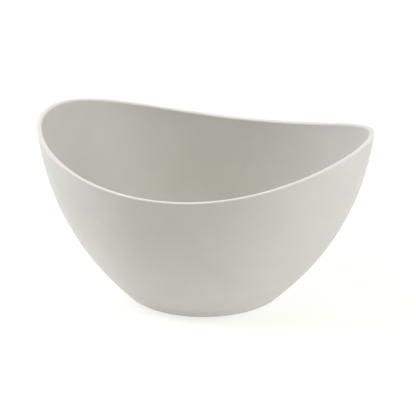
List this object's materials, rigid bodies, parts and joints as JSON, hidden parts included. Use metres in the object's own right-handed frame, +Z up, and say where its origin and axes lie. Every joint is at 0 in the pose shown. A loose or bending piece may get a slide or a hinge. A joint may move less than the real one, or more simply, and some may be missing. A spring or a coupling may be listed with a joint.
{
  "type": "serving bowl",
  "caption": "Deep oval serving bowl on a round foot, with a thin even wall and a saddle-shaped rim that rises to both ends; for chips, snacks or salad.",
  "frame": {"origin": "on the table under the centre of the foot", "axes": "+X along the bowl's length towards one high end of the rim, +Y across it towards one low side, +Z up"},
  "size_m": [0.2698, 0.2214, 0.1392],
  "materials": {
    "bowl": "matt, warm off-white moulded plastic with a very fine grain"
  },
  "bodies": {
    "root": {"bowl": "bowl"}
  },
  "joints": []
}
